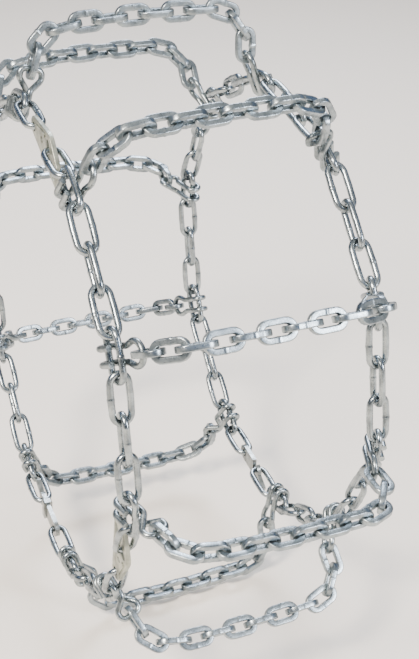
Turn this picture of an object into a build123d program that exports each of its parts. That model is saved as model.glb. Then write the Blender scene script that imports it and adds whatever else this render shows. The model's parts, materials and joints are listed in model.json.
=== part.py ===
from build123d import *
from math import cos, radians, sin
import os

os.makedirs("parts", exist_ok=True)

# Tire snow chains, ladder pattern, in the shape they take when fitted.  Millimetres.
# Y is the wheel's axis and -Y the outboard side.  X-Z is the plane of the wheel, +Z up.

# side chains: long welded links of round wire
SIDE_WIRE = 8.0
SIDE_WIDTH = 29.4
SIDE_PITCH = 47.8
SIDE_SLACK = 2.0
OUTER_Y = -158.0
INNER_Y = 158.0

# cross chains: short welded links of square rod
ROD = 7.6
ROD_CORNER = 1.5
CROSS_WIDTH = 26.6
CROSS_PLAY = 1.9
CROSS_LINKS = 12
CROSS_CHAINS = 10

# where the cross chains lie
CROWN_RADIUS = 404.0
SHOULDER_RADIUS = 400.0
OUTER_SHOULDER = 130.0
INNER_SHOULDER = 148.0
OUTER_BEND = 50.0
INNER_BEND = 46.0
CROWN_BEND = 500.0

# angles round the wheel, in degrees, falling from one cross chain to the next
FIRST_STATION = 99.4
PLAIN_STEP = 34.6667
WIDE_STEP = 38.0
INNER_FIRST = 98.4
INNER_STEP = 36.0
WIDE_SECTIONS = (0, 3, 5, 7)
CAM_SECTIONS = (0, 3, 7)
REVERSED_SECTION = 3
WIDE_KINK = 0.0
LEVER_SECTION = 5
INNER_LATCH_SECTION = 5

# hooks: one bent round wire, gripping the side link's inner bar
HOOK_WIRE = 7.6
HOOK_GRIP = 8.6
HOOK_LEG = 8.9
HOOK_LOOP = 13.5
HOOK_TIP = 5.0
HOOK_NECK = 13.0
HOOK_SHOULDER = 25.0
HOOK_APEX = 41.0
HOOK_TILT = 17.0
TWIST_RISE = 15.0
TWIST_TOP = 29.0
FLAT_BENDS = [12.0, 8.0, 13.0, 13.0, 8.0, 12.0]
TWIST_BENDS = [7.0, 5.0, 7.0, 7.0, 5.0, 7.0]

# cams and latches: flat plates, measured from the eye
PLATE = 6.0
PLATE_EDGE = 1.2
EYE_RADIUS = 5.5
EYE_RIM = 12.4
SLOT_WIDTH = 10.8
CAM_BODY = 20.0
CAM_BODY_BACK = 4.0
CAM_LOBE = 13.0
CAM_LOBE_X = 88.0
CAM_LOBE_Y = -24.0
SEAT_TURN = 8.0
SLOT_BEND = 26.0
SLOT_SWEEP = 68.0
TOOL_HOLE = 4.2
TOOL_X = 31.0
RIB_HEIGHT = 1.5
RIB_ROOT = 0.5
RIB_WIDTH = 6.0
RIB_LENGTH = 36.0
RIB_X = 27.0
RIB_Y = 9.5
RIB_TURN = 10.0
LATCH_SWING = 30.0
NOSE_SET = 1.0
TONGUE_SET = 16.0
TONGUE_DROP = -8.0
TONGUE_LENGTH = 34.0
TONGUE_WIDTH = 9.0
TONGUE_TURN = -24.0
KEEPER_WALL = 3.0
KEEPER_GAP = 0.4
KEEPER_LENGTH = 8.0
KEEPER_ROUND = 2.0
KEEPER_X = 36.0

# how much each cross chain has rolled about its own run, at its middle
ROLLS = (6.0, 14.0, -5.0, 5.0, -6.0, 7.0, -7.0, 4.0, 6.0, -6.0)

# the chains whose outermost link stands upright; the others start with a flat link
UPRIGHT_FIRST = (1, 2, 6, 8)


def side_radius(step, links):
    """Radius of the side chain where equal chords turn by step between gripped links."""
    half = radians(step / 2)
    return SIDE_PITCH * (links - 1 + cos(half)) / (2 * sin(half))


OUTER_RADIUS = side_radius(PLAIN_STEP, 4)
INNER_RADIUS = side_radius(INNER_STEP, 4)
WIDE_CHORD = 2 * OUTER_RADIUS * sin(radians(WIDE_STEP / 2))
WIDE_GAP = WIDE_CHORD - SIDE_PITCH * cos(radians(WIDE_STEP / 2))
LAST_RUN = (SIDE_PITCH ** 2 - WIDE_KINK ** 2) ** 0.5
FIRST_RUN = ((WIDE_GAP - LAST_RUN) ** 2 + WIDE_KINK ** 2) ** 0.5
CAM_REACH = FIRST_RUN - SIDE_PITCH
PIVOT_SET = SIDE_WIRE / 2 + SIDE_SLACK / 2


def outer_angles():
    """Angles of the outer stations, one for each cross chain."""
    angles = [FIRST_STATION]
    for section in range(CROSS_CHAINS - 1):
        angles.append(angles[-1] - (WIDE_STEP if section in WIDE_SECTIONS else PLAIN_STEP))
    return angles


OUTER_ANGLES = outer_angles()
INNER_ANGLES = [INNER_FIRST - INNER_STEP * k for k in range(CROSS_CHAINS)]


def radial(angle):
    """Unit vector outwards from the wheel's axis."""
    return Vector(cos(radians(angle)), 0, sin(radians(angle)))


def along(angle):
    """Unit vector round the wheel, in the direction of rising angle."""
    return Vector(-sin(radians(angle)), 0, cos(radians(angle)))


def write(name, part, label):
    """Labels a finished piece and writes its file."""
    part.label = label
    export_step(part, f"parts/{label}.step")
    print(name, label, len(part.solids()), "solids", round(part.volume), "mm3")


# ------------------------------------------------------------------ single links

with BuildPart() as side_link:
    run = SIDE_PITCH + SIDE_SLACK + SIDE_WIRE
    with BuildLine(Plane.XY) as side_path:
        bar_gap = SIDE_WIDTH - SIDE_WIRE
        half_run = (run - bar_gap) / 2
        half_width = bar_gap / 2
        top = Line((0, half_width), (half_run, half_width))
        nose = ThreePointArc(top @ 1, (half_run + half_width, 0), (half_run, -half_width))
        low = Line(nose @ 1, (-half_run, -half_width))
        tail = ThreePointArc(low @ 1, (-half_run - half_width, 0), (-half_run, half_width))
        Line(tail @ 1, (0, half_width))
    with BuildSketch(Plane(origin=(0, half_width, 0), z_dir=(1, 0, 0))):
        Circle(SIDE_WIRE / 2)
    sweep(path=side_path.wires()[0])


def cross_link(inner_length):
    """A short welded link of square rod with rounded corners, lying in XY along X."""
    with BuildPart() as link:
        with BuildSketch():
            SlotOverall(inner_length + 2 * ROD, CROSS_WIDTH)
            SlotOverall(inner_length, CROSS_WIDTH - 2 * ROD, mode=Mode.SUBTRACT)
        extrude(amount=ROD / 2, both=True)
        fillet(link.edges().filter_by(lambda e: abs(abs(e.center().Z) - ROD / 2) < 0.01), ROD_CORNER)
    return link.part


def link_group(link, planes):
    """Copies of one link at a list of planes, as separate solids."""
    with BuildPart() as group:
        with Locations(*planes):
            add(link)
    return group.part


# ------------------------------------------------------------------ side chains


class Section:
    """One stretch of side chain, from a gripped link towards the next one."""

    def __init__(self, radius, y, start_angle, end_angle):
        self.radius = radius
        self.y = y
        self.start_angle = start_angle
        self.out = Vector(0, -1, 0) if y < 0 else Vector(0, 1, 0)
        start = radial(start_angle) * radius - along(start_angle) * (SIDE_PITCH / 2)
        end = radial(end_angle) * radius + along(end_angle) * (SIDE_PITCH / 2)
        self.start = start + Vector(0, y, 0)
        self.run = end - start
        self.way = self.run.normalized()
        self.across = Vector(-self.way.Z, 0, self.way.X)

    def at(self, distance):
        """A point on the section, measured from the gripped link's end."""
        return self.start + self.way * distance

    def gripped(self):
        """Plane of the gripped link, tilted with its hook."""
        frame = grip_plane(self.radius, self.y, self.start_angle)
        return Plane(origin=frame.origin, x_dir=frame.x_dir, z_dir=frame.y_dir)

    def kinked(self, reversed_way=False):
        """The two straight runs of a wide section, which dips inwards where its plate ends."""
        end = self.start + self.run
        if reversed_way:
            joint = self.at(LAST_RUN) - self.across_out() * WIDE_KINK
            return end, joint, self.start
        joint = self.at(self.run.length - LAST_RUN) - self.across_out() * WIDE_KINK
        return self.start, joint, end

    def across_out(self):
        """Unit vector square to the section, away from the wheel's axis."""
        middle = self.start + self.run * 0.5
        side = self.across
        return side if side.dot(Vector(middle.X, 0, middle.Z)) > 0 else side * -1

    def flat(self, distance):
        """Plane of a link lying parallel to the sidewall."""
        return Plane(origin=self.at(distance), x_dir=self.way, z_dir=self.out)

    def upright(self, distance):
        """Plane of a link standing square to the sidewall."""
        return Plane(origin=self.at(distance), x_dir=self.way, z_dir=self.across)


def grip_plane(radius, y, angle):
    """Frame of a hook: x round the wheel, y outboard, z up the sidewall."""
    out = Vector(0, -1, 0) if y < 0 else Vector(0, 1, 0)
    x_dir = along(angle) if y < 0 else along(angle) * -1
    up = radial(angle) * cos(radians(HOOK_TILT)) - out * sin(radians(HOOK_TILT))
    return Plane(origin=radial(angle) * radius + Vector(0, y, 0), x_dir=x_dir, z_dir=up)


def sections(radius, y, angles):
    """All the stretches of one side chain."""
    turned = angles[1:] + [angles[0] - 360]
    return [Section(radius, y, a, b) for a, b in zip(angles, turned)]


outer_sections = sections(OUTER_RADIUS, OUTER_Y, OUTER_ANGLES)
inner_sections = sections(INNER_RADIUS, INNER_Y, INNER_ANGLES)


def standing(start, way):
    """Plane of a link that starts at a point, runs one way and stands square to the sidewall."""
    middle = start + way * (SIDE_PITCH / 2)
    return Plane(origin=middle, x_dir=way, z_dir=Vector(-way.Z, 0, way.X))


for number, section in enumerate(outer_sections):
    planes = [section.gripped()]
    if number in WIDE_SECTIONS:
        start, joint, end = section.kinked(number == REVERSED_SECTION)
        planes.append(standing(start, (joint - start).normalized()))
        planes.append(standing(joint, (end - joint).normalized()))
    else:
        planes.append(section.upright(SIDE_PITCH / 2))
        planes.append(section.flat(SIDE_PITCH * 1.5))
        planes.append(section.upright(SIDE_PITCH * 2.5))
    write("outer side chain", link_group(side_link.part, planes), f"outer_side_links_{number + 1}")

for number, section in enumerate(inner_sections):
    planes = [section.gripped(), section.upright(SIDE_PITCH / 2), section.upright(SIDE_PITCH * 2.5)]
    if number != INNER_LATCH_SECTION:
        planes.append(section.flat(SIDE_PITCH * 1.5))
    write("inner side chain", link_group(side_link.part, planes), f"inner_side_links_{number + 1}")

# ------------------------------------------------------------------ cross-chain hooks

GRIP_LOW = -(SIDE_WIDTH - SIDE_WIRE) / 2 - HOOK_GRIP
GRIP_BEND = HOOK_GRIP - 0.1
LEG_TIP = (HOOK_LEG, HOOK_GRIP, HOOK_TIP)
LEG = [LEG_TIP, (HOOK_LEG, HOOK_GRIP, GRIP_LOW), (HOOK_LEG, -HOOK_GRIP, GRIP_LOW)]
FLAT_LOOP = [
    (HOOK_LEG, -HOOK_GRIP, HOOK_NECK),
    (HOOK_LOOP, -HOOK_GRIP, HOOK_SHOULDER),
    (HOOK_LOOP, -HOOK_GRIP, HOOK_APEX),
    (-HOOK_LOOP, -HOOK_GRIP, HOOK_APEX),
    (-HOOK_LOOP, -HOOK_GRIP, HOOK_SHOULDER),
    (-HOOK_LEG, -HOOK_GRIP, HOOK_NECK),
]
TWISTED_LOOP = [
    (HOOK_LEG, -HOOK_GRIP, TWIST_RISE),
    (0, HOOK_LOOP - HOOK_GRIP, TWIST_TOP),
    (0, HOOK_LOOP - HOOK_GRIP, HOOK_APEX),
    (0, -HOOK_LOOP - HOOK_GRIP, HOOK_APEX),
    (0, -HOOK_LOOP - HOOK_GRIP, TWIST_TOP),
    (-HOOK_LEG, -HOOK_GRIP, TWIST_RISE),
]


def bent_hook(loop, bends):
    """A hook of one wire: two legs that wrap the side link, joined by a loop."""
    far_leg = [(-x, y, z) for x, y, z in reversed(LEG)]
    grip = [GRIP_BEND, GRIP_BEND]
    with BuildPart() as hook:
        with BuildLine() as line:
            FilletPolyline(*LEG, *loop, *far_leg, radius=grip + bends + grip)
        with BuildSketch(Plane(origin=LEG_TIP, z_dir=(0, 0, -1))):
            Circle(HOOK_WIRE / 2)
        sweep(path=line.wires()[0])
    return hook.part


flat_hook = bent_hook(FLAT_LOOP, FLAT_BENDS)
twisted_hook = bent_hook(TWISTED_LOOP, TWIST_BENDS)
print("hook volumes", flat_hook.volume, twisted_hook.volume)

# ------------------------------------------------------------------ cross chains

CHAIN_START = HOOK_APEX


def chain_end(radius, y):
    """Where a cross chain leaves its hook, as distance out from the axis and along it."""
    side = -1 if y < 0 else 1
    tilt = radians(HOOK_TILT)
    out = radius + CHAIN_START * cos(tilt) - HOOK_GRIP * sin(tilt)
    return (y - side * CHAIN_START * sin(tilt) - side * HOOK_GRIP * cos(tilt), out)


with BuildLine() as cross_path:
    FilletPolyline(
        chain_end(OUTER_RADIUS, OUTER_Y),
        (-OUTER_SHOULDER, SHOULDER_RADIUS),
        (0, CROWN_RADIUS),
        (INNER_SHOULDER, SHOULDER_RADIUS),
        chain_end(INNER_RADIUS, INNER_Y),
        radius=[OUTER_BEND, CROWN_BEND, INNER_BEND],
    )
cross_run = cross_path.wires()[0]

# An upright link, or a link on a hook, bends about the bar that it holds.
# A flat link between two upright ones bends about its own end bars.
CROSS_INNER = (cross_run.length + ROD + (CROSS_LINKS + 1) * CROSS_PLAY) / CROSS_LINKS
HELD = CROSS_INNER / 2 - ROD / 2 - CROSS_PLAY
OWN = CROSS_INNER / 2 + ROD / 2
print("cross chain run", cross_run.length, "link hole", CROSS_INNER, "held", HELD, "own", OWN)

rod_link = cross_link(CROSS_INNER)


def run_point(travel, start_angle, end_angle):
    """A point on one cross chain's run, and its angle round the wheel."""
    spot = cross_run @ min(travel / cross_run.length, 1.0)
    share = (spot.X - OUTER_Y) / (INNER_Y - OUTER_Y)
    angle = start_angle + (end_angle - start_angle) * share
    return radial(angle) * spot.Y + Vector(0, spot.X, 0), angle


def cross_planes(start_angle, end_angle, roll, upright_first):
    """Planes of one cross chain's links, upright and flat by turns."""
    planes = []
    travel = 0.0
    for step in range(CROSS_LINKS):
        upright = (step % 2 == 0) == upright_first
        before = HELD if upright or step == 0 else OWN
        after = HELD if upright or step == CROSS_LINKS - 1 else OWN
        start, angle = run_point(travel, start_angle, end_angle)
        travel += before + after
        end, _ = run_point(travel, start_angle, end_angle)
        way = (end - start).normalized()
        outward = way.cross(along(angle)) * -1
        turn = roll * sin(radians(180 * step / (CROSS_LINKS - 1))) ** 2
        normal = outward.rotate(Axis((0, 0, 0), way), turn + (90 if upright else 0))
        planes.append(Plane(origin=start + way * before, x_dir=way, z_dir=normal))
    return planes


for number in range(CROSS_CHAINS):
    start_angle = OUTER_ANGLES[number]
    end_angle = INNER_ANGLES[number]
    upright_first = number in UPRIGHT_FIRST
    outer_hook = flat_hook if upright_first else twisted_hook
    inner_hook = twisted_hook if upright_first else flat_hook
    planes = cross_planes(start_angle, end_angle, ROLLS[number], upright_first)
    write("cross chain", link_group(rod_link, planes), f"cross_links_{number + 1}")
    outer = [grip_plane(OUTER_RADIUS, OUTER_Y, start_angle)]
    write("hook", link_group(outer_hook, outer), f"outer_hook_{number + 1}")
    inner = [grip_plane(INNER_RADIUS, INNER_Y, end_angle)]
    write("hook", link_group(inner_hook, inner), f"inner_hook_{number + 1}")

# ------------------------------------------------------------------ cams, lever and latch


def cam_plate(rib_side):
    """A tightening cam: the eye at the origin, the next link's wire on +X, +Y up the sidewall."""
    seat = CAM_REACH - 2 * PIVOT_SET
    with BuildPart() as cam:
        with BuildSketch():
            Circle(EYE_RIM)
            with Locations((seat - CAM_BODY_BACK, 0)):
                Circle(CAM_BODY)
            with Locations((CAM_LOBE_X, CAM_LOBE_Y)):
                Circle(CAM_LOBE)
            make_hull()
        extrude(amount=PLATE / 2, both=True)
        fillet(cam.edges().filter_by(lambda e: abs(abs(e.center().Z) - PLATE / 2) < 0.01), PLATE_EDGE)
        with BuildSketch():
            Circle(EYE_RADIUS)
            with Locations((TOOL_X, 0)):
                Circle(TOOL_HOLE)
        extrude(amount=PLATE, both=True, mode=Mode.SUBTRACT)
        with BuildSketch():
            with BuildLine() as slot_line:
                seat_top = Vector(seat, 0).rotate(Axis.Z, SEAT_TURN)
                seat_middle = Vector(seat, 0).rotate(Axis.Z, SEAT_TURN / 2)
                seat_arc = ThreePointArc(seat_top, seat_middle, (seat, 0))
                JernArc(seat_arc @ 1, seat_arc % 1, SLOT_BEND, SLOT_SWEEP)
            SlotArc(slot_line.wires()[0], SLOT_WIDTH)
        extrude(amount=PLATE, both=True, mode=Mode.SUBTRACT)
        with BuildSketch(Plane.XY.offset(rib_side * (PLATE / 2 - RIB_ROOT))):
            with Locations((RIB_X, RIB_Y)):
                SlotOverall(RIB_LENGTH, RIB_WIDTH, rotation=RIB_TURN)
        extrude(amount=rib_side * (RIB_HEIGHT + RIB_ROOT))
    return cam.part


def latch_plate(reach):
    """A hooked plate: the eye at the origin, an open bay for the next link's wire on +X."""
    seat = reach - 2 * PIVOT_SET
    with BuildPart() as latch:
        with BuildSketch():
            Circle(EYE_RIM)
            with Locations((seat + NOSE_SET, 0)):
                Circle(EYE_RIM)
            make_hull()
            with Locations((seat + TONGUE_SET, TONGUE_DROP)):
                SlotOverall(TONGUE_LENGTH, TONGUE_WIDTH, rotation=TONGUE_TURN)
        extrude(amount=PLATE / 2, both=True)
        with BuildSketch():
            Circle(EYE_RADIUS)
        extrude(amount=PLATE, both=True, mode=Mode.SUBTRACT)
        with BuildSketch():
            with BuildLine() as bay:
                middle = Vector(seat, 0).rotate(Axis.Z, LATCH_SWING / 2)
                ThreePointArc((seat, 0), middle, Vector(seat, 0).rotate(Axis.Z, LATCH_SWING))
            SlotArc(bay.wires()[0], SLOT_WIDTH)
        extrude(amount=PLATE, both=True, mode=Mode.SUBTRACT)
    return latch.part


def pivot_plane(section, reversed_way=False):
    """Frame of a plate in a wide section: x along the chain from its eye, y up the sidewall."""
    start, joint, _ = section.kinked(reversed_way)
    way = (joint - start).normalized()
    out = section.out * (-1 if reversed_way else 1)
    return Plane(origin=start + way * (SIDE_PITCH + PIVOT_SET), x_dir=way, z_dir=out)


def latch_plane(section):
    """Frame of the plate that takes a plain link's place, seen from the chain's far end."""
    origin = section.at(section.run.length - SIDE_PITCH - PIVOT_SET)
    return Plane(origin=origin, x_dir=section.way * -1, z_dir=section.out * -1)


for count, number in enumerate(CAM_SECTIONS):
    turned = number == REVERSED_SECTION
    place = pivot_plane(outer_sections[number], turned)
    cam = cam_plate(-1 if turned else 1)
    write("cam", link_group(cam, [place]), f"cam_{count + 1}")
    print("  pivot", place.origin, "x", place.x_dir, "z", place.z_dir)

lever_place = pivot_plane(outer_sections[LEVER_SECTION])
write("lever", link_group(latch_plate(CAM_REACH), [lever_place]), "lever_hook")
print("  pivot", lever_place.origin, "x", lever_place.x_dir, "z", lever_place.z_dir)

with BuildPart() as keeper:
    with BuildSketch(Plane.YZ.offset(KEEPER_X)):
        tall = 2 * (EYE_RIM + KEEPER_GAP)
        deep = PLATE + 2 * KEEPER_GAP
        RectangleRounded(tall + 2 * KEEPER_WALL, deep + 2 * KEEPER_WALL, KEEPER_ROUND)
        Rectangle(tall, deep, mode=Mode.SUBTRACT)
    extrude(amount=KEEPER_LENGTH)
write("keeper", link_group(keeper.part, [lever_place]), "keeper_ring")

inner_place = latch_plane(inner_sections[INNER_LATCH_SECTION])
write("latch", link_group(latch_plate(SIDE_PITCH), [inner_place]), "inner_latch")
print("  pivot", inner_place.origin, "x", inner_place.x_dir, "z", inner_place.z_dir, "y", inner_place.y_dir)

for number in range(CROSS_CHAINS):
    a = grip_plane(OUTER_RADIUS, OUTER_Y, OUTER_ANGLES[number])
    b = grip_plane(INNER_RADIUS, INNER_Y, INNER_ANGLES[number])
    bar_set = (SIDE_WIDTH - SIDE_WIRE) / 2
    print("axis", number + 1, tuple(a.origin - a.z_dir * bar_set), tuple(b.origin - b.z_dir * bar_set))
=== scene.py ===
import json
import math
import random

import bmesh
import bpy
import numpy as np
from mathutils import Matrix, Vector


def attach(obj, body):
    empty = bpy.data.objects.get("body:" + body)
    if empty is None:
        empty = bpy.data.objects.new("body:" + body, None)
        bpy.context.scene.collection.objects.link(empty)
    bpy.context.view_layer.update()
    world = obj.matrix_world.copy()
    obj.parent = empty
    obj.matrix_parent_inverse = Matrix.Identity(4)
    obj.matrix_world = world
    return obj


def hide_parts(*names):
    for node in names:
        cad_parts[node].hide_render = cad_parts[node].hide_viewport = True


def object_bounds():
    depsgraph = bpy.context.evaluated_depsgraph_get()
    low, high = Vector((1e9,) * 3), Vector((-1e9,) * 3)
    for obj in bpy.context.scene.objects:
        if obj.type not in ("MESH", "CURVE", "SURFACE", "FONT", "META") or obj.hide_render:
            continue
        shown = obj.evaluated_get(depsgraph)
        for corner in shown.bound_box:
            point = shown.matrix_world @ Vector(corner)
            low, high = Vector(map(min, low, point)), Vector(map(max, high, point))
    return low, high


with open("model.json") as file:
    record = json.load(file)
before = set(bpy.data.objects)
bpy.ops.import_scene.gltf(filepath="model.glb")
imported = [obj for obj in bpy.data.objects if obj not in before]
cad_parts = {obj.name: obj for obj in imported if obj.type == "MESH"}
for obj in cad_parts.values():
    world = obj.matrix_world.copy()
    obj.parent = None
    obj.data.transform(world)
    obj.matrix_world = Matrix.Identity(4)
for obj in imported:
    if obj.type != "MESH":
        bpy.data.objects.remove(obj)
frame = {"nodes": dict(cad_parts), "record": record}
cad_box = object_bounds()
BODIES = frame["record"]["behaviour"]["bodies"]
SLOTS = {row["node"]: row["material_slot"] for row in frame["record"]["subparts"]}
BODY_OF = {node: body for body, nodes in BODIES.items() for node in nodes}
MM = 0.001
WELD_SEED = 11
draw = random.Random(WELD_SEED)

# ------------------------------------------------------------------ finishes


def linear(hexa):
    """An sRGB hex colour as linear red, green, blue and alpha."""
    out = []
    for place in (0, 2, 4):
        value = int(hexa[place:place + 2], 16) / 255
        out.append(value / 12.92 if value <= 0.04045 else ((value + 0.055) / 1.055) ** 2.4)
    return (*out, 1.0)


def add_node(tree, kind, settings=None, links=None):
    """One node with its settings, its socket values, and what feeds its sockets."""
    node = tree.nodes.new(kind)
    for name, value in (settings or {}).items():
        if name in node.inputs:
            node.inputs[name].default_value = value
        else:
            setattr(node, name, value)
    for socket, source in (links or {}).items():
        tree.links.new(source, node.inputs[socket])
    return node


# where the mottle turns from tarnished to bright, and how far the grain swings and how deep it is
TARNISH_BELOW = 0.36
BRIGHT_ABOVE = 0.60
GRAIN_RANGE = (0.3, 0.7)
GRAIN_DEPTH = 0.3 * MM


def zinc(name, bright, tarnish, low, high, metallic, mottle_mm, grain_mm, bump):
    """Zinc plate: mottled brightness over a fine grain, as plating on drawn steel has."""
    material = bpy.data.materials.new(name)
    material.use_nodes = True
    tree = material.node_tree
    tree.nodes.clear()
    place = add_node(tree, "ShaderNodeTexCoord").outputs["Object"]
    mottle = add_node(tree, "ShaderNodeTexNoise", {"Scale": 1 / (mottle_mm * MM), "Detail": 3.0},
                      {"Vector": place}).outputs["Fac"]
    grain = add_node(tree, "ShaderNodeTexNoise", {"Scale": 1 / (grain_mm * MM), "Detail": 2.0},
                     {"Vector": place}).outputs["Fac"]
    colour = add_node(tree, "ShaderNodeValToRGB", {}, {"Fac": mottle})
    colour.color_ramp.elements[0].position = TARNISH_BELOW
    colour.color_ramp.elements[0].color = linear(tarnish)
    colour.color_ramp.elements[1].position = BRIGHT_ABOVE
    colour.color_ramp.elements[1].color = linear(bright)
    spread = {"From Min": GRAIN_RANGE[0], "From Max": GRAIN_RANGE[1], "To Min": low, "To Max": high}
    shine = add_node(tree, "ShaderNodeMapRange", spread, {"Value": grain}).outputs["Result"]
    relief = add_node(tree, "ShaderNodeBump", {"Strength": bump, "Distance": GRAIN_DEPTH},
                      {"Height": grain}).outputs["Normal"]
    shader = add_node(tree, "ShaderNodeBsdfPrincipled", {"Metallic": metallic},
                      {"Base Color": colour.outputs["Color"], "Roughness": shine, "Normal": relief})
    add_node(tree, "ShaderNodeOutputMaterial", {}, {"Surface": shader.outputs["BSDF"]})
    return material


# name, bright and tarnished colour, least and most roughness, metallic, mottle and grain in mm, bump
# bright zinc on steel: a cold silver with a satin sheen, softly mottled
FINISHES = {
    "side_chain_zinc": zinc("bright_zinc_wire", "a4acaf", "7f878b", 0.20, 0.32, 1.0, 16, 1.8, 0.18),
    "cross_chain_zinc": zinc("bright_zinc_rod", "a1aaae", "7f888d", 0.25, 0.38, 1.0, 14, 1.8, 0.18),
    "hook_zinc": zinc("zinc_hook_wire", "a1a9ab", "7a8285", 0.24, 0.36, 1.0, 12, 1.6, 0.2),
    # dull zinc, greenish cream, as a passivated plate dries
    "cam_zinc": zinc("dull_zinc_plate", "b4b6a9", "84877c", 0.36, 0.55, 0.8, 16, 1.2, 0.6),
    "latch_zinc": zinc("satin_zinc_plate", "a5a9a7", "7d8280", 0.28, 0.42, 1.0, 12, 1.4, 0.3),
}

# ------------------------------------------------------------------ camera, light and floor

CAMERA_AZIMUTH = math.radians(22.4)
CAMERA_ELEVATION = math.radians(29.8)
CAMERA_DISTANCE = 1.6918
CAMERA_TARGET = Vector((0.0305, 0.0477, -0.0175))
CAMERA_LENS = 69.6
CAMERA_SENSOR = 36.0
CAMERA_SHIFT = (0.0086, 0.0165)
CAMERA_NEAR = 0.02


def set_camera():
    """The camera: level, from the right and in front, and above."""
    flat = math.cos(CAMERA_ELEVATION)
    rise = math.sin(CAMERA_ELEVATION)
    back = Vector((flat * math.cos(CAMERA_AZIMUTH), -flat * math.sin(CAMERA_AZIMUTH), rise))
    data = bpy.data.cameras.new("camera")
    data.lens = CAMERA_LENS
    data.sensor_width = CAMERA_SENSOR
    data.shift_x, data.shift_y = CAMERA_SHIFT
    data.clip_start = CAMERA_NEAR
    camera = bpy.data.objects.new("camera", data)
    camera.location = CAMERA_TARGET + back * CAMERA_DISTANCE
    camera.rotation_euler = (-back).to_track_quat("-Z", "Y").to_euler()
    bpy.context.scene.collection.objects.link(camera)
    bpy.context.scene.camera = camera


# the surround by height, from level to overhead: pale, a dark band that outlines the metal, blue, and white
SKY = (
    (0.0, "ebe9e5"), (0.19, "e4e2de"), (0.25, "2f2e2d"), (0.35, "3c3c3c"), (0.43, "84aae2"),
    (0.56, "a6c4ee"), (0.66, "4a4e54"), (0.72, "f6f7f8"), (1.0, "f4f4f2"),
)
SKY_STRENGTH = 0.85


def set_sky():
    """A surround banded by height, which the plating mirrors."""
    world = bpy.data.worlds.new("sky")
    bpy.context.scene.world = world
    world.use_nodes = True
    tree = world.node_tree
    tree.nodes.clear()
    place = add_node(tree, "ShaderNodeTexCoord").outputs["Generated"]
    height = add_node(tree, "ShaderNodeSeparateXYZ", {}, {"Vector": place}).outputs["Z"]
    ramp = add_node(tree, "ShaderNodeValToRGB", {}, {"Fac": height})
    stops = ramp.color_ramp.elements
    stops[0].position, stops[1].position = SKY[0][0], SKY[-1][0]
    stops[0].color, stops[1].color = linear(SKY[0][1]), linear(SKY[-1][1])
    for position, hexa in SKY[1:-1]:
        stops.new(position).color = linear(hexa)
    backdrop = add_node(tree, "ShaderNodeBackground", {"Strength": SKY_STRENGTH},
                        {"Color": ramp.outputs["Color"]})
    add_node(tree, "ShaderNodeOutputWorld", {}, {"Surface": backdrop.outputs["Background"]})


# name, place in metres, width in metres, watts and colour
LAMPS = (
    ("key_light", (1.6, -2.4, 3.0), 1.0, 330, "fff4e6"),
    ("sky_light", (-2.0, 1.0, 2.6), 1.4, 120, "eaf1ff"),
    ("side_light", (2.6, 1.6, 1.4), 1.0, 90, "f7f9ff"),
)


def set_lamp(name, place, size, watts, hexa):
    """A square soft light aimed at the wheel's centre."""
    data = bpy.data.lights.new(name, "AREA")
    data.size = size
    data.energy = watts
    data.color = linear(hexa)[:3]
    lamp = bpy.data.objects.new(name, data)
    lamp.location = place
    lamp.rotation_euler = (-Vector(place)).to_track_quat("-Z", "Y").to_euler()
    bpy.context.scene.collection.objects.link(lamp)


FLOOR_REACH = 14.0
FLOOR_GAP = 4 * MM
FLOOR_ROUGHNESS = 0.7


def set_floor():
    """A plain pale floor just under the chain."""
    bm = bmesh.new()
    bmesh.ops.create_grid(bm, x_segments=2, y_segments=2, size=FLOOR_REACH)
    bmesh.ops.translate(bm, vec=(0, 0, cad_box[0][2] - FLOOR_GAP), verts=bm.verts)
    mesh = bpy.data.meshes.new("floor")
    bm.to_mesh(mesh)
    bm.free()
    floor = bpy.data.objects.new("floor", mesh)
    bpy.context.scene.collection.objects.link(floor)
    material = bpy.data.materials.new("pale_floor")
    material.use_nodes = True
    shader = material.node_tree.nodes["Principled BSDF"]
    shader.inputs["Base Color"].default_value = linear("fbf1e4")
    shader.inputs["Roughness"].default_value = FLOOR_ROUGHNESS
    mesh.materials.append(material)


set_camera()
set_sky()
for lamp_settings in LAMPS:
    set_lamp(*lamp_settings)
set_floor()

# ------------------------------------------------------------------ links


SAME_PLACE = 1e-6


def island_frames(node):
    """For each separate link of a CAD node: its matrix, x along it and z square to it, and its size."""
    bm = bmesh.new()
    bm.from_mesh(frame["nodes"][node].data)
    bmesh.ops.remove_doubles(bm, verts=bm.verts, dist=SAME_PLACE)
    bmesh.ops.triangulate(bm, faces=bm.faces)
    waiting = set(bm.faces)
    found = []
    while waiting:
        reached = [waiting.pop()]
        faces = []
        while reached:
            face = reached.pop()
            faces.append(face)
            for edge in face.edges:
                for other in edge.link_faces:
                    if other in waiting:
                        waiting.discard(other)
                        reached.append(other)
        found.append(faces)
    result = []
    for faces in found:
        corners = np.array([[tuple(v.co) for v in face.verts] for face in faces])
        first, second = corners[:, 1] - corners[:, 0], corners[:, 2] - corners[:, 0]
        area = np.linalg.norm(np.cross(first, second), axis=1)
        middle = corners.mean(axis=1)
        centre = (middle * area[:, None]).sum(axis=0) / area.sum()
        spread = (middle - centre) * np.sqrt(area)[:, None]
        _, axes = np.linalg.eigh(spread.T @ spread)
        way, normal = axes[:, 2], axes[:, 0]
        side = np.cross(normal, way)
        matrix = Matrix(np.column_stack([way, side, normal]).tolist()).to_4x4()
        matrix.translation = Vector(centre)
        flat = corners.reshape(-1, 3) - centre
        size = [float(np.ptp(flat @ axis)) for axis in (way, side, normal)]
        result.append((matrix, size))
    bm.free()
    return sorted(result, key=lambda row: tuple(round(v, 5) for v in row[0].translation))


ROUND_POINTS = 14
BEND_STEPS = 9
CORNER_STEPS = 2
CORNER_SHARE = 0.19


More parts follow.
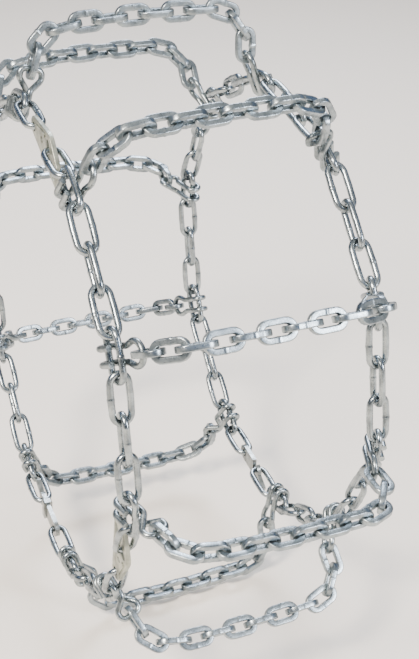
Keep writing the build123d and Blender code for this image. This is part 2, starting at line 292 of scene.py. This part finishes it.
def round_profile(bm, stock):
    """A ring of round wire in the YZ plane."""
    bmesh.ops.create_circle(bm, cap_ends=False, radius=stock / 2, segments=ROUND_POINTS)


def square_profile(bm, stock):
    """A ring of square rod with rounded corners in the YZ plane."""
    bmesh.ops.create_grid(bm, x_segments=1, y_segments=1, size=stock / 2)
    bmesh.ops.bevel(bm, geom=bm.verts[:], offset=stock * CORNER_SHARE, offset_type="OFFSET",
                    segments=CORNER_STEPS, profile=0.5, affect="VERTICES", material=-1)
    bmesh.ops.delete(bm, geom=bm.faces[:], context="FACES_ONLY")


# the weld: a raised bead in the middle of one straight bar, as (place, swelling), in stock widths
BEAD = ((-0.42, 0.0), (-0.24, 0.02), (-0.13, 0.08), (0.0, 0.10), (0.12, 0.07), (0.22, 0.015), (0.40, 0.0))
BEAD_ROUGHNESS = 0.018
BEAD_TOP = 0.05
BEAD_SHIFT = 0.25
BEAD_SWELL = (0.8, 1.25)
SEAM_SHARE = 0.002
FLAT_WEIGHT = 80


def only(kind, items):
    """The items of one kind."""
    return [item for item in items if isinstance(item, kind)]


def drawn_on(bm, edges, step):
    """Extrudes the open ring along X and returns its new edges and vertices."""
    made = bmesh.ops.extrude_edge_only(bm, edges=edges)["geom"]
    verts = only(bmesh.types.BMVert, made)
    bmesh.ops.translate(bm, vec=(step, 0, 0), verts=verts)
    old = set(edges)
    new_edges = [edge for edge in only(bmesh.types.BMEdge, made)
                 if edge not in old and edge.verts[0] in verts and edge.verts[1] in verts]
    return new_edges, verts


def bent_round(bm, edges, centre):
    """Spins the open ring half a turn round a bend's centre and returns its new edges."""
    made = bmesh.ops.spin(bm, geom=edges, cent=centre, axis=(0, 0, -1), dvec=(0, 0, 0), angle=math.pi,
                          steps=BEND_STEPS, use_merge=False, use_duplicate=False)["geom_last"]
    return only(bmesh.types.BMEdge, made)


# the round links are ovals: the bars bow outwards at the middle, and the ends are drawn in
BOW = 0.03
NARROW = 0.13


def forge_link(size, stock, square):
    """A welded link along X, as one closed tube with a weld bead on the +Y bar."""
    reach = (size[0] - size[1]) / 2
    half = (size[1] - stock) / 2
    bm = bmesh.new()
    if square:
        square_profile(bm, stock)
    else:
        round_profile(bm, stock)
    bmesh.ops.rotate(bm, verts=bm.verts, cent=(0, 0, 0), matrix=Matrix.Rotation(math.pi / 2, 3, "Y"))
    bmesh.ops.translate(bm, vec=(-reach, half, 0), verts=bm.verts)
    edges = bm.edges[:]
    shift = draw.uniform(-BEAD_SHIFT, BEAD_SHIFT) * stock
    swell = draw.uniform(*BEAD_SWELL)
    here, size_now = -reach, 1.0
    for place, grow in BEAD:
        place = shift + place * stock
        wanted = 1 + grow * swell
        edges, verts = drawn_on(bm, edges, place - here)
        ratio = wanted / size_now
        bmesh.ops.scale(bm, vec=(1, ratio, ratio), space=Matrix.Translation((0, -half, 0)), verts=verts)
        if grow > BEAD_TOP:
            for vert in verts:
                vert.co.x += draw.uniform(-1, 1) * BEAD_ROUGHNESS * 2 * stock
        here, size_now = place, wanted
    edges, _ = drawn_on(bm, edges, reach - here)
    edges = bent_round(bm, edges, (reach, 0, 0))
    edges, _ = drawn_on(bm, edges, -reach)
    edges, _ = drawn_on(bm, edges, -reach)
    bent_round(bm, edges, (-reach, 0, 0))
    bmesh.ops.remove_doubles(bm, verts=bm.verts, dist=stock * SEAM_SHARE)
    bmesh.ops.recalc_face_normals(bm, faces=bm.faces)
    if not square:
        for vert in bm.verts:
            along = abs(vert.co.x) / (size[0] / 2)
            vert.co.y *= 1 + BOW - NARROW * along ** 2
    return bm


def link_piece(node, square):
    """All the links of one CAD node as one detailed piece in its place."""
    whole = bmesh.new()
    for matrix, size in island_frames(node):
        link = forge_link(size, size[2], square)
        if draw.random() < 0.5:
            matrix = matrix @ Matrix.Rotation(math.pi, 4, "Z")
        bmesh.ops.transform(link, matrix=matrix, verts=link.verts)
        bmesh.ops.recalc_face_normals(link, faces=link.faces)
        part = bpy.data.meshes.new("part")
        link.to_mesh(part)
        link.free()
        whole.from_mesh(part)
        bpy.data.meshes.remove(part)
    for face in whole.faces:
        face.smooth = True
    mesh = bpy.data.meshes.new(node + "_forged")
    whole.to_mesh(mesh)
    whole.free()
    piece = bpy.data.objects.new(node + "_forged", mesh)
    bpy.context.scene.collection.objects.link(piece)
    mesh.materials.append(FINISHES[SLOTS[node]])
    if square:
        piece.modifiers.new("flat_faces", "WEIGHTED_NORMAL").weight = FLAT_WEIGHT
    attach(piece, BODY_OF[node])
    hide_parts(node)


for node in sorted(frame["nodes"]):
    if "side_links" in node:
        link_piece(node, False)
    elif "cross_links" in node:
        link_piece(node, True)
    else:
        finish = FINISHES[SLOTS[node]]
        mesh = frame["nodes"][node].data
        mesh.materials.clear()
        mesh.materials.append(finish)
